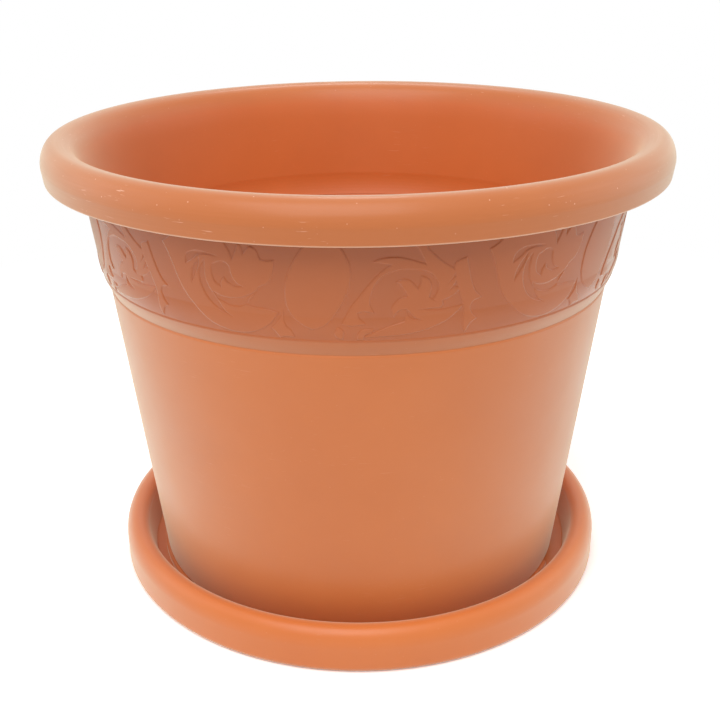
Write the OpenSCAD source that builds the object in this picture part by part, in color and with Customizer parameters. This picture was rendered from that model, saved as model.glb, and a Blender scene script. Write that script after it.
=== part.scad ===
// Terracotta-coloured moulded flower pot with a scroll frieze, standing in its saucer.
// Millimetres, +Z up, origin under the middle of the saucer. The front faces -Y.

/* [Pot] */
// Height of the pot alone, foot to rim
pot_h = 294; // [280:1:310]
// Outer diameter over the rim
rim_d = 400; // [370:1:420]
// How far the rim stands out past the wall just under it
rim_overhang = 22.75; // [20:0.25:26]
// How much the wall leans out from the shoulder up to the rim
neck_lean = 5.75; // [4:0.25:8]
// How far the shoulder swells out above the ledge
shoulder_swell = 7.5; // [5:0.25:10]
// Width of the small rounded ledge on top of the plain body
ledge_w = 1; // [0.6:0.1:1.6]
// How much the plain body narrows down to the foot
body_taper = 22.5; // [16:0.5:28]
// Height of the plain body, foot to ledge
body_h = 200; // [180:1:206]
// Height of the curved shoulder
shoulder_h = 24; // [18:1:28]
// Thickness of the moulded wall
wall = 3; // [2.4:0.1:3.6]

/* [Rim] */
// Height of the rim's outer side
rim_h = 23.5; // [20:0.5:28]
// Distance from the rim's outer side to its highest line
crown_in = 10; // [8:0.5:12]
// Height of the rim's outer curve
crown_outer_h = 14; // [10:0.5:16]
// Height of the rim's inner curve
crown_inner_h = 11; // [9:0.5:13]
// How much the inside widens from the rim's lower edge up to its inner curve
mouth_lean = 3.75; // [2:0.25:5]
// How much the rim's side draws in towards its lower edge
rim_draft = 1.2; // [0.6:0.1:2]
// Number of ribs inside the hollow rim
rim_rib_n = 12; // [6:1:24]

/* [Frieze] */
// Number of times that the ornament repeats round the pot
repeat_n = 6; // [4:1:6]
// Depth of the frieze's ground below the ornament
relief = 0.6; // [0.4:0.1:1.2]
// Height of the plain band between the ledge and the frieze
band_h = 9.5; // [7:0.5:12]
// Azimuth of the medallion that is nearest the front
frieze_turn = -7; // [-30:1:30]
// Width of a medallion
medallion_w = 34; // [28:1:35]
// Inner radius of a scroll
scroll_r = 18; // [16:0.5:18.5]
// Mean width of a scroll's stem
ribbon_w = 6; // [5:0.5:6.5]

/* [Foot] */
// Height of the foot ring below the pot's floor
foot_h = 4; // [3.5:0.5:6]
// Width of the foot ring
foot_w = 9; // [7:0.5:12]
// Radius of the foot's lower edge
foot_edge = 2; // [1:0.5:3]
// Thickness of the pot's floor
floor_t = 3; // [2.4:0.1:4]
// Diameter of a drain hole
drain_d = 13; // [9:0.5:16]
// Diameter of the circle that the drain holes lie on
drain_circle_d = 170; // [120:1:200]
// Number of drain holes on the circle
drain_n = 8; // [6:1:10]

/* [Saucer] */
// Height of the saucer
saucer_h = 30; // [27:0.5:34]
// Thickness of the saucer's wall and floor
saucer_wall = 2.5; // [2:0.1:3]
// Height of the saucer's floor above the ground
saucer_lift = 1.5; // [1:0.1:2.5]
// Height of the seat pads above the saucer's floor
seat_h = 3.5; // [2.5:0.5:5]
// Number of seat pads
seat_n = 6; // [4:1:8]
// How far a seat pad reaches past the pot's foot
seat_margin = 2; // [1:0.5:3]
// Width of the moat between the seat pads and the saucer's wall
moat_w = 6.5; // [5:0.5:9]
// How much the saucer's inner wall leans out from the moat to the lip
inner_lean = 4; // [2:0.5:6]
// Width of the saucer's rolled lip
lip_w = 16; // [13:0.5:18]
// Height of the lip's outer curve
lip_outer_h = 12; // [9:0.5:14]
// Height of the lip's inner curve
lip_inner_h = 8; // [6:0.5:10]
// Radius of the curve at the foot of the saucer's side
skirt_edge = 4.5; // [3:0.5:6]
// Number of ribs inside the saucer's hollow lip
lip_rib_n = 12; // [6:1:24]
// Azimuth of the seat pad that shows at the front left
seat_turn = -73; // [-90:1:90]
// Share of the seat circle that the pads fill
seat_share = 0.6; // [0.4:0.05:0.8]

/* [Hidden] */
$fn = 144;
curve_steps = 9;      // straight steps in each curve of a turned outline
rib_t = 2;            // thickness of a hidden rib
near_eye_h = 24.5;    // height of the lower scroll's eye above the frieze's lower line
far_eye_h = 37;       // height of the upper scroll's eye above the frieze's lower line
near_share = 0.25;    // share of one repeat from a medallion to the lower scroll
bud_share = 0.47;     // share of one repeat from a medallion to the bud
far_share = 0.75;     // share of one repeat from a medallion to the upper scroll
belly_share = 0.55;   // how far down the frieze a medallion is widest
relief_top = 1;       // how far the frieze runs up behind the rim's side
bury = 0.5;           // how deep an added piece reaches into what carries it
past = 1;             // how far a cutter runs past a face
foot_relief = 2;      // height of the water notches, and of the floor ribs above the foot's face
notch_w = 12;         // width of a water notch in the foot ring
skirt_land = 2;       // width of the flat that the saucer's skirt stands on
ring_h = 0.8;         // height of the stiffening rings on the saucer's floor
ring_shares = [0.4, 0.7]; // radii of those rings as shares of the foot's radius
terracotta = "#cf7a4a";

rim_r = rim_d / 2;
crown_r = rim_r - crown_in;
neck_r = rim_r - rim_overhang;
mouth_r = neck_r - wall + mouth_lean;
shoulder_r = neck_r - neck_lean;
crease_r = shoulder_r - shoulder_swell;
body_r = crease_r + ledge_w;
foot_r = body_r - body_taper;
rim_foot_z = pot_h - rim_h;
crown_outer_z = pot_h - crown_outer_h;
crown_inner_z = pot_h - crown_inner_h;
shoulder_z = body_h + shoulder_h;
frieze_z = body_h + band_h;
floor_z = foot_h + floor_t;

saucer_floor_z = saucer_lift + saucer_wall;
seat_z = saucer_floor_z + seat_h;    // ground to the underside of the pot
seat_r = foot_r + seat_margin;
moat_r = seat_r + moat_w;
lip_r = moat_r + inner_lean;
saucer_r = lip_r + lip_w;

// Points on an ellipse's arc, from one angle to another.
function arc(centre, radii, from, to) =
  [for (i = [0:curve_steps])
    let (a = from + (to - from) * i / curve_steps)
    centre + [radii[0] * cos(a), radii[1] * sin(a)]];

// Radius of the shoulder's circle: it draws in by the swell while it falls by its height.
shoulder_curve_r = (shoulder_swell * shoulder_swell + shoulder_h * shoulder_h) / (2 * shoulder_swell);

// The shoulder's curve, bottom to top, drawn in by the given thickness.
function shoulder_curve(inset) =
  arc(
    [shoulder_r - shoulder_curve_r - inset, shoulder_z],
    [shoulder_curve_r, shoulder_curve_r],
    -asin(shoulder_h / shoulder_curve_r),
    0
  );

// Radius of the wall's outside at a height on the straight stretch above the shoulder.
function frieze_r(z) =
  shoulder_r + neck_lean * (z - shoulder_z) / (rim_foot_z - shoulder_z);

// Outer radius of the shoulder's curve at a height.
function shoulder_at(z) =
  shoulder_r - shoulder_curve_r + sqrt(pow(shoulder_curve_r, 2) - pow(shoulder_z - z, 2));

// The wall's outer face over the frieze, from a height on the shoulder up to one under the rim.
function frieze_face(low_z, high_z) = concat(
  [for (i = [0:curve_steps])
    let (z = low_z + (shoulder_z - low_z) * i / curve_steps)
    [shoulder_at(z), z]],
  [[frieze_r(high_z), high_z]]
);

// A face's points in reverse, moved towards the axis.
function reverse_inset(face, inset) =
  [for (i = [len(face) - 1:-1:0]) face[i] - [inset, 0]];

// Outline between two curved lines over the crown of a rim, drawn in by an inset.
function crown_curve(inset) = concat(
  arc([crown_r, crown_outer_z], [rim_r - crown_r - inset, crown_outer_h - inset], 0, 90),
  arc([crown_r, crown_inner_z], [crown_r - mouth_r - inset, crown_inner_h - inset], 90, 180)
);

// Pot

module pot_outside() {
  polygon(concat(
    [[0, 0]],
    arc([foot_r - foot_edge, foot_edge], [foot_edge, foot_edge], -90, 0),
    arc([body_r - ledge_w, body_h - ledge_w], [ledge_w, ledge_w], 0, 90),
    shoulder_curve(0),
    [[neck_r, rim_foot_z], [rim_r - rim_draft, rim_foot_z]],
    crown_curve(0),
    [[0, crown_inner_z]]
  ));
}

// The space inside the pot, open at the top.
module pot_inside() {
  polygon(concat(
    [[0, floor_z], [foot_r - wall, floor_z]],
    shoulder_curve(wall),
    [[neck_r - wall, rim_foot_z], [mouth_r, crown_inner_z], [0, crown_inner_z + past]]
  ));
}

// Inner radius of the wall at a height inside the rim.
function rim_inside_r(z) =
  neck_r - wall + mouth_lean * (z - rim_foot_z) / (crown_inner_z - rim_foot_z);

// The hollow under the rim, or with half an inset the outline of a rib that fills it.
module rim_hollow(inset, foot_z) {
  polygon(concat(
    [[rim_inside_r(foot_z) + inset, foot_z], [rim_r - rim_draft - inset, foot_z]],
    crown_curve(inset)
  ));
}

// The sunken ground of the frieze, from the plain band up into the rim's hollow.
module frieze_ground() {
  face = frieze_face(frieze_z, rim_foot_z + relief_top);
  polygon(concat([for (p = face) p + [past, 0]], reverse_inset(face, relief)));
}

module pot_shell() {
  difference() {
    rotate_extrude() difference() {
      pot_outside();
      pot_inside();
      rim_hollow(wall, rim_foot_z - past);
      frieze_ground();
      translate([0, -past]) square([foot_r - foot_w, foot_h + past]);
    }
    drain_holes();
  }
}

module drain_holes() {
  cylinder(d = drain_d, h = floor_z + past);
  for (i = [0:drain_n - 1])
    rotate([0, 0, i * 360 / drain_n])
      translate([drain_circle_d / 2, 0, 0])
        cylinder(d = drain_d, h = floor_z + past);
}

// Thin upright plates inside the rolled rim, spaced evenly.
module rim_ribs() {
  for (i = [0:rim_rib_n - 1])
    rotate([0, 0, (i + 0.5) * 360 / rim_rib_n])
      rotate([90, 0, 0])
        translate([0, 0, -rib_t / 2])
          linear_extrude(height = rib_t)
            rim_hollow(wall / 2, crown_outer_z);
}

// An ornament's outline, drawn as seen from outside, raised on the frieze at an azimuth.
module on_frieze(azimuth) {
  intersection() {
    rotate([0, 0, azimuth])
      translate([0, -body_r + wall, 0])
        rotate([90, 0, 0])
          linear_extrude(height = rim_r - body_r)
            children();
    relief_ring();
  }
}

// The layer that the ornament stands in: from just inside the ground out to the wall's face.
module relief_ring() {
  face = frieze_face(frieze_z + bury, rim_foot_z + relief_top - bury);
  rotate_extrude() polygon(concat(face, reverse_inset(face, relief + bury)));
}

// An egg with its point down, its top hidden by the rim.
module medallion() {
  belly_z = rim_foot_z - belly_share * (rim_foot_z - frieze_z);
  point_z = frieze_z + band_h;
  polygon(concat(
    arc([0, belly_z], [medallion_w / 2, rim_foot_z + relief_top - belly_z], 0, 180),
    arc([0, belly_z], [medallion_w / 2, belly_z - point_z], 180, 360)
  ));
}

// Point at a distance and an angle from a scroll's eye.
function polar(r, a) = r * [cos(a), sin(a)];

// A band round an eye that thins from its first angle to its last.
module ribbon(inner_r, width, angle) {
  function edge(share, side) =
    let (
      w = width[1] + (width[0] - width[1]) * pow(1 - share, 2),
      r = inner_r[0] + (inner_r[1] - inner_r[0]) * share
    )
    polar(r + side * w, angle[0] + (angle[1] - angle[0]) * share);
  steps = ceil(1.5 * curve_steps);
  polygon(concat(
    [for (i = [0:steps]) edge(i / steps, 0)],
    [for (i = [steps:-1:0]) edge(i / steps, 1)]
  ));
}

// A leaf between two bowed edges from its base to its tip.
module leaf(base, tip, bow, back_bow) {
  across = [base[1] - tip[1], tip[0] - base[0]];
  function edge(share, amount) =
    base + (tip - base) * share + across * amount * 4 * share * (1 - share);
  steps = ceil(0.5 * curve_steps);
  polygon(concat(
    [for (i = [0:steps]) edge(i / steps, bow)],
    [for (i = [steps - 1:-1:1]) edge(i / steps, back_bow)]
  ));
}

// The scroll beside a medallion. Its stem climbs and arches over, and leaves whirl inside it.
// Places are in inner radii of the scroll, from its eye.
module near_scroll() {
  r = scroll_r;
  ribbon([r, r], [2 * ribbon_w, ribbon_w / 2], [208, -15]);
  leaf([0.33, 1.03] * r, [-0.94, 1.19] * r, -0.24, 0.02);
  leaf([1.11, 0.11] * r, [0.11, 2.15] * r, -0.24, -0.02);
  for (a = [-10, 9, 27])
    leaf(polar(0.83 * r, a - 12), polar(1.62 * r, a), -0.22, 0.12);
  ribbon([0.5 * r, 0.72 * r], [0.83 * r, 0.39 * r], [8, -118]);
  leaf([0, -r], [-1.22, -1.3] * r, 0.12, -0.1);
  translate([0.4, -0.35] * r) circle(r = 0.33 * r, $fn = 12);
  leaf([0.44, -0.22] * r, [-0.5, 0.55] * r, -0.3, 0.02);
  leaf([0.44, -0.33] * r, [0.28, 0.72] * r, -0.24, 0.2);
  leaf([0.5, -0.4] * r, [-0.67, -0.6] * r, -0.5, -0.16);
}

// The scroll that answers it. A broad leaf falls from the rim and sweeps round under the eye.
module far_scroll() {
  r = scroll_r;
  ribbon([1.22 * r, 1.11 * r], [3.2 * ribbon_w, 2.5 * ribbon_w], [160, 322]);
  leaf([-2, 0.28] * r, [-0.17, 0.5] * r, -0.22, 0.02);
  leaf([-1.67, -0.22] * r, [-0.61, 0.33] * r, 0.3, -0.05);
  leaf([-1.39, -0.89] * r, [-0.83, 0.17] * r, 0.28, -0.12);
  leaf([0.78, -1.44] * r, [-0.39, -1] * r, -0.3, -0.02);
  leaf([1.56, -1.11] * r, [0.44, -1.03] * r, -0.3, 0.1);
  ribbon([0.67 * r, 0.94 * r], [0.7 * ribbon_w, ribbon_w / 2], [150, 392]);
  leaf([0.06, -0.78] * r, [-0.28, 0.33] * r, -0.35, 0.1);
  leaf([0.67, -0.44] * r, [0.17, 0.28] * r, -0.3, 0.3);
}

// The drooping bud between two scrolls.
module bud() {
  r = scroll_r;
  leaf([0, 1.44] * r, [0, 0.17] * r, 0.18, -0.18);
  leaf([0.06, 1.1] * r, [0.4, 0.28] * r, 0.3, -0.1);
  leaf([-0.06, 1.1] * r, [-0.4, 0.28] * r, 0.1, -0.3);
}

module frieze() {
  step = 360 / repeat_n;
  for (i = [0:repeat_n - 1]) {
    turn = frieze_turn + i * step;
    on_frieze(turn) medallion();
    on_frieze(turn + near_share * step)
      translate([0, frieze_z + near_eye_h]) near_scroll();
    on_frieze(turn + bud_share * step)
      translate([0, frieze_z]) bud();
    on_frieze(turn + far_share * step)
      translate([0, frieze_z + far_eye_h]) far_scroll();
  }
}

// Low ribs and a hub under the floor, short of the foot ring's lower face.
module floor_ribs() {
  rib_h = foot_h - foot_relief;
  for (i = [0:drain_n - 1])
    rotate([0, 0, (i + 0.5) * 360 / drain_n])
      translate([drain_d, -rib_t / 2, foot_relief])
        cube([foot_r - foot_w - drain_d + bury, rib_t, rib_h + bury]);
  translate([0, 0, foot_relief])
    difference() {
      cylinder(r = drain_d + rib_t, h = rib_h + bury);
      translate([0, 0, -past]) cylinder(r = drain_d, h = rib_h + 3 * past);
    }
}

// Notches through the foot ring that let water out between the seat pads.
module foot_notches() {
  for (i = [0:seat_n - 1])
    rotate([0, 0, seat_turn - 90 + (i + 0.5) * 360 / seat_n])
      translate([foot_r - 1.5 * foot_w, -notch_w / 2, -past])
        cube([2 * foot_w, notch_w, foot_relief + past]);
}

module pot() {
  color(terracotta)
    translate([0, 0, seat_z])
      difference() {
        union() {
          pot_shell();
          rim_ribs();
          floor_ribs();
          frieze();
        }
        foot_notches();
      }
}

// Saucer

// Outline over the lip between the skirt and the inner wall, drawn in by an inset.
function lip_curve(inset) =
  let (mid_r = lip_r + lip_w / 2)
  concat(
    arc([mid_r, saucer_h - lip_outer_h], [lip_w / 2 - inset, lip_outer_h - inset], 0, 90),
    arc([mid_r, saucer_h - lip_inner_h], [lip_w / 2 - inset, lip_inner_h - inset], 90, 180)
  );

module saucer_outside() {
  polygon(concat(
    [[0, saucer_lift], [moat_r, saucer_lift], [moat_r, 0]],
    arc([saucer_r - skirt_edge, skirt_edge], [skirt_edge, skirt_edge], -90, 0),
    lip_curve(0),
    [[moat_r, saucer_floor_z], [0, saucer_floor_z]]
  ));
}

// The hollow inside the lip, or with half an inset the outline of a rib that fills it.
module lip_hollow(inset, foot_z) {
  polygon(concat(
    [[moat_r + inset, foot_z], [saucer_r - skirt_edge - skirt_land, foot_z]],
    arc([saucer_r - skirt_edge, skirt_edge], [skirt_edge - inset, skirt_edge - inset], -90, 0),
    lip_curve(inset)
  ));
}

module lip_ribs() {
  for (i = [0:lip_rib_n - 1])
    rotate([0, 0, i * 360 / lip_rib_n])
      rotate([90, 0, 0])
        translate([0, 0, -rib_t / 2])
          linear_extrude(height = rib_t)
            lip_hollow(saucer_wall / 2, skirt_edge);
}

// Raised arcs that hold the pot's foot above the water.
module seat_pads() {
  pad_r = foot_r - foot_w - seat_margin;
  span = 360 / seat_n * seat_share;
  for (i = [0:seat_n - 1])
    rotate([0, 0, seat_turn - 90 - span / 2 + i * 360 / seat_n])
      rotate_extrude(angle = span)
        translate([pad_r, saucer_floor_z - bury])
          square([seat_r - pad_r, seat_h + bury]);
}

// Low rings that stiffen the saucer's floor.
module floor_rings() {
  rotate_extrude()
    for (share = ring_shares)
      translate([foot_r * share, saucer_floor_z - bury])
        square([rib_t, ring_h + bury]);
}

module saucer() {
  color(terracotta)
    union() {
      rotate_extrude() difference() {
        saucer_outside();
        lip_hollow(saucer_wall, -past);
      }
      lip_ribs();
      seat_pads();
      floor_rings();
    }
}

saucer();
pot();
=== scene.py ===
import math

import bpy
import numpy as np
from mathutils import Matrix


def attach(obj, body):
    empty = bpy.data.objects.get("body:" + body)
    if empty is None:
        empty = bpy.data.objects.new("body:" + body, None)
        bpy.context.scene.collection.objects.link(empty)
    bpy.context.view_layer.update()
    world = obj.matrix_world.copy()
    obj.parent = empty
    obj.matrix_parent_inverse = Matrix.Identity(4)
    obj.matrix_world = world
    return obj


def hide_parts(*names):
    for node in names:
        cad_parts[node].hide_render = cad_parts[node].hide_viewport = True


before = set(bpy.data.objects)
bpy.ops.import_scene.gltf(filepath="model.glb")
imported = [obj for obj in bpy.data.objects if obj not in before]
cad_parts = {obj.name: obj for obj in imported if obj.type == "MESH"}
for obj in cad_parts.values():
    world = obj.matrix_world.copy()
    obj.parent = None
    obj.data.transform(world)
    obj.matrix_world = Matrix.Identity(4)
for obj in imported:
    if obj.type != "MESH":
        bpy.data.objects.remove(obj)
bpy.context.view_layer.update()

# Lengths in the dictionaries are millimetres above the ground or from the pot's axis.
# Azimuths are degrees from the front (-Y), positive towards +X.

metresPerMm = 0.001
print("frame loaded")


# centre plus (radius r times cosine, radius z times sine) at evenly spaced angles
def onEllipse(centre, radii, startAngle, endAngle, count=12):
    a = np.radians(np.linspace(startAngle, endAngle, count))
    return np.stack([centre[0] + radii[0] * np.cos(a), centre[1] + radii[1] * np.sin(a)], 1)


# (1 - t)^2 start + 2 t (1 - t) corner + t^2 end: touches both sides of the corner
def bend(start, corner, end, count):
    t = np.linspace(0, 1, count)[:, None]
    return (1 - t) ** 2 * start + 2 * t * (1 - t) * corner + t ** 2 * end


# Each corner (r, z, radius) becomes a bend from the point one cut-back before the corner to the
# point one cut-back after it.
def rounded(corners, count=6):
    points = np.array([c[:2] for c in corners], float)
    radii = np.array([c[2] for c in corners], float)
    pieces = [points[:1]]
    for before, corner, after, radius in zip(points[:-2], points[1:-1], points[2:], radii[1:-1]):
        if radius == 0:
            pieces.append(corner[None])
            continue
        toBefore = (before - corner) / np.linalg.norm(before - corner)
        toAfter = (after - corner) / np.linalg.norm(after - corner)
        halfAngle = 0.5 * math.acos(np.clip(toBefore @ toAfter, -1, 1))
        cutBack = radius / math.tan(halfAngle)
        pieces.append(bend(corner + toBefore * cutBack, corner, corner + toAfter * cutBack, count))
    pieces.append(points[-1:])
    return np.concatenate(pieces)


# The same line with more points on it: long stretches are split evenly, and each gets a point
# close to its two ends, so that smooth shading stays flat along it.
def supported(profile, longest=4.0, margin=0.35, closed=False):
    following = np.roll(profile, -1, 0) if closed else profile[1:]
    current = profile if closed else profile[:-1]
    pieces = []
    for start, end in zip(current, following):
        length = np.linalg.norm(end - start)
        if length < 1e-6:
            continue
        shares = np.linspace(0, 1, max(2, int(math.ceil(length / longest)) + 1))[:-1]
        if length > 4 * margin:
            shares = np.unique(np.concatenate([shares, [margin / length, 1 - margin / length]]))
        pieces.append(start + (end - start) * shares[:, None])
    if not closed:
        pieces.append(profile[-1:])
    return np.concatenate(pieces)


# point at a radius, an azimuth and a height: x = r sin a, y = -r cos a
def around(radius, azimuth, height):
    a = np.radians(azimuth)
    return np.stack(np.broadcast_arrays(radius * np.sin(a), -radius * np.cos(a), height), -1)


# sum over the faces' fans of a . (b x c) / 6, positive when the faces point outwards
def signedVolume(vertices, faces):
    total = 0.0
    for corner in range(1, faces.shape[1] - 1):
        a, b, c = vertices[faces[:, 0]], vertices[faces[:, corner]], vertices[faces[:, corner + 1]]
        total += np.einsum("ij,ij->", a, np.cross(b, c)) / 6
    return total


# Puts arrays of points (millimetres) and faces into a mesh whose place is in its points.
# A closed surface that is inside out is turned; an open one keeps its faces.
def makePiece(name, vertices, quads, body, caps=(), smooth=True, closed=True):
    faces = np.asarray(quads, np.int64)
    flip = closed and signedVolume(vertices - vertices.mean(0), faces) < 0
    if flip:
        faces = faces[:, ::-1]
    capList = [list(c[::-1]) if flip else list(c) for c in caps]
    mesh = bpy.data.meshes.new(name)
    mesh.from_pydata((vertices * metresPerMm).tolist(), [], faces.tolist() + capList)
    shading = np.full(len(mesh.polygons), smooth)
    shading[len(faces):] = False
    mesh.polygons.foreach_set("use_smooth", shading)
    mesh.update()
    piece = bpy.data.objects.new(name, mesh)
    bpy.context.scene.collection.objects.link(piece)
    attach(piece, body)
    return piece


# quads between neighbours on a grid of points; where the grid closes, the last row or column
# is joined to the first
def gridFaces(rows, columns, closeRows, closeColumns):
    r = np.arange(rows if closeRows else rows - 1)
    c = np.arange(columns if closeColumns else columns - 1)
    r, c = np.meshgrid(r, c, indexing="ij")
    nextR, nextC = (r + 1) % rows, (c + 1) % columns
    corners = [r * columns + c, nextR * columns + c, nextR * columns + nextC, r * columns + nextC]
    return np.stack(corners, -1).reshape(-1, 4)


# The profile turned round the axis: every point (r, z) at every azimuth. A profile that starts
# and ends on the axis is closed there by one point each and a fan of triangles.
def turnedPiece(name, profile, segments, body):
    azimuths = np.arange(segments) * 360 / segments
    onAxis = profile[0, 0] < 1e-6
    ring = profile[1:-1] if onAxis else profile
    vertices = around(ring[:, :1], azimuths[None, :], ring[:, 1:]).reshape(-1, 3)
    quads = gridFaces(len(ring), segments, not onAxis, True)
    caps = []
    if onAxis:
        poles = np.array([[0, 0, profile[0, 1]], [0, 0, profile[-1, 1]]])
        first = len(vertices)
        vertices = np.concatenate([vertices, poles])
        c = np.arange(segments)
        n = (c + 1) % segments
        last = (len(ring) - 1) * segments
        caps = [(first, a, b) for a, b in zip(c, n)]
        caps += [(first + 1, last + b, last + a) for a, b in zip(c, n)]
    piece = makePiece(name, vertices, quads, body, caps)
    piece.data.polygons.foreach_set("use_smooth", np.full(len(piece.data.polygons), True))
    return piece


# the pot's moulding
potSizes = {
    "standsAt": 7.5,
    "footR": 142.5, "footRingW": 9.0, "footEdge": 2.0, "footInnerEdge": 0.8, "footH": 4.0, "footLand": 2.0,
    "floorT": 3.0, "floorCorner": 4.0, "underFloorEdge": 0.9, "wall": 3.0,
    "bodyTopR": 165.0, "bodyTopZ": 207.5, "ledge": 0.5, "ledgeH": 1.1, "ledgeEdge": 1.8, "ledgeFillet": 0.9,
    "shoulderR": 171.5, "shoulderZ": 231.5, "shoulderSwell": 7.0, "shoulderInside": 0.7,
    "insideBlend": 45.0,
    "bandStart": 1.5, "bandEnd": 0.5, "bandTopZ": 217.0, "bandSeam": 0.4, "bandEdge": 0.05,
    "relief": 0.5, "skinT": 0.8, "behindStart": 1.0, "behindEnd": 1.0,
    "neckR": 177.25, "neckTuck": 0.3, "neckStart": 1.8, "neckEnd": 1.0,
    "rimFootZ": 278.0, "rimFootEdge": 1.3, "rimInnerEdge": 0.5,
    "rimR": 200.0, "rimDraft": 1.2, "rimTopZ": 301.5, "crownR": 190.0,
    "crownOuterH": 14.0, "crownInnerH": 11.0, "crownSteps": 22,
    "mouthR": 178.0, "mouthFrom": 14, "mouthBlend": 15.0,  # mouthFrom counts the crown's steps from its top
    # where the inside's painted bounce light starts below the top, and over what height it fades in
    "insideColourFrom": 6.0, "insideColourFade": 9.0,
    "rimColourFrom": (-1.5, -0.5), "crownColourFrom": (-14.0, -6.0), "partingLineAndGlintFrom": (1.2, 0.4),
    "segments": 228,
}


# radius of the shoulder's curve, from its swell and its height: (swell^2 + height^2) / 2 swell
def shoulderCircle(s):
    height = s["shoulderZ"] - s["bodyTopZ"]
    return (s["shoulderSwell"] ** 2 + height ** 2) / (2 * s["shoulderSwell"])


# Outer radius of the wall at a height above the ledge: the shoulder's circle below its top, and
# a straight line from there to the neck above it.
def wallFace(z, s):
    c = shoulderCircle(s)
    fall = np.clip(s["shoulderZ"] - z, 0, None)
    lean = (s["neckR"] - s["shoulderR"]) / (s["rimFootZ"] - s["shoulderZ"])
    return s["shoulderR"] - c + np.sqrt(c ** 2 - fall ** 2) + lean * np.clip(z - s["shoulderZ"], 0, None)


# over the rim from its outer side to its inner side: two quarter ellipses that meet on top
def crownLine(s, inset, count):
    outer = onEllipse((s["crownR"], s["rimTopZ"] - s["crownOuterH"]),
                      (s["rimR"] - s["crownR"] - inset, s["crownOuterH"] - inset), 0, 90, count)
    inner = onEllipse((s["crownR"], s["rimTopZ"] - s["crownInnerH"]),
                      (s["crownR"] - s["mouthR"] - inset, s["crownInnerH"] - inset), 90, 180, count)
    return np.concatenate([outer, inner[1:]])


# The pot's wall as one closed line: up the outside over the ledge and the plain band, in behind
# the frieze's skin, under and over the rim, down the inside and back under the foot ring. Where
# the crown's inner side gets steep, one bend carries it into the wall below the mouth.
def shellProfile(s):
    z0 = s["standsAt"]
    footInnerR = s["footR"] - s["footRingW"]
    floorTop = z0 + s["footH"] + s["floorT"]
    seamZ = s["bandTopZ"] - s["bandSeam"]
    bandZs = np.linspace(s["bodyTopZ"] + s["bandStart"], seamZ - s["bandEnd"], 6)
    ledge = rounded([
        (footInnerR + s["footLand"], z0, 0), (s["footR"], z0, s["footEdge"]),
        (s["bodyTopR"], s["bodyTopZ"] - s["ledgeH"], s["ledgeEdge"]),
        (s["bodyTopR"] - s["ledge"], s["bodyTopZ"], s["ledgeFillet"]),
        (wallFace(bandZs[0], s), bandZs[0], 0),
    ], 8)
    band = rounded([(wallFace(z, s), z, 0) for z in bandZs[1:]] + [
        (wallFace(seamZ, s), seamZ, s["bandEdge"]),
        (wallFace(seamZ, s) - s["relief"] - s["skinT"], seamZ + 2 * s["bandEdge"], 0),
    ], 5)
    behindZs = np.linspace(seamZ + s["behindStart"], s["rimFootZ"] + s["behindEnd"], 12)
    behind = np.stack([wallFace(behindZs, s) - s["relief"] - s["skinT"], behindZs], 1)
    wallInR = s["neckR"] - s["wall"]
    mouthLean = (s["mouthR"] - wallInR) / (s["rimTopZ"] - s["crownInnerH"] - s["rimFootZ"])
    neckZs = np.linspace(s["rimFootZ"] + s["neckStart"], s["rimTopZ"] - s["crownInnerH"] - s["neckEnd"], 4)
    neck = np.stack([s["neckR"] - s["neckTuck"] + mouthLean * (neckZs - s["rimFootZ"]), neckZs], 1)
    ceiling = crownLine(s, s["wall"], 10)[::-1]
    footR = s["rimR"] - s["rimDraft"]
    lowerEdge = rounded([
        (ceiling[-1, 0], ceiling[-1, 1] - 1, 0), (footR - s["wall"], s["rimFootZ"], s["rimInnerEdge"]),
        (footR, s["rimFootZ"], s["rimFootEdge"]), (s["rimR"], s["rimTopZ"] - s["crownOuterH"], 0),
    ], 8)[:-1]
    crown = crownLine(s, 0, s["crownSteps"])[:s["crownSteps"] + s["mouthFrom"]]
    c = shoulderCircle(s)
    sweep = math.degrees(math.asin((s["shoulderZ"] - s["bodyTopZ"]) / c)) * s["shoulderInside"]
    insideShoulder = onEllipse((s["shoulderR"] - c - s["wall"], s["shoulderZ"]), (c, c), 0, -sweep, 8)
    wallDown = insideShoulder[0] - np.array([wallInR, s["rimFootZ"]])
    crownDown = crown[-1] - crown[-2]
    share = np.linalg.solve(np.stack([crownDown, -wallDown], 1), insideShoulder[0] - crown[-1])[0]
    corner = crown[-1] + share * crownDown
    wallStart = corner + s["mouthBlend"] * wallDown / np.linalg.norm(wallDown)
    inside = bend(crown[-1], corner, wallStart, 20)[1:]
    floorR = s["footR"] - s["wall"]
    floorCorner = rounded([
        (*insideShoulder[-1], 0), (s["bodyTopR"] - s["ledge"] - s["wall"], s["bodyTopZ"], s["insideBlend"]),
        (floorR, floorTop, s["floorCorner"]), (floorR - s["floorCorner"], floorTop, 0),
    ], 10)[1:]
    underFloor = rounded([
        (footInnerR - 1, z0 + s["footH"], 0), (footInnerR, z0 + s["footH"], s["underFloorEdge"]),
        (footInnerR, z0, s["footInnerEdge"]), (footInnerR + s["footLand"], z0, 0),
    ], 6)[:-1]
    return np.concatenate([
        ledge, band, behind, neck, ceiling, lowerEdge,
        crown, inside, insideShoulder, floorCorner, underFloor,
    ])


# marks a surface for the materials: one number for each point of the mesh
def addZone(piece, name, values):
    piece.data.attributes.new(name, "FLOAT", "POINT").data.foreach_set("value", values.astype(np.float32))
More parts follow.
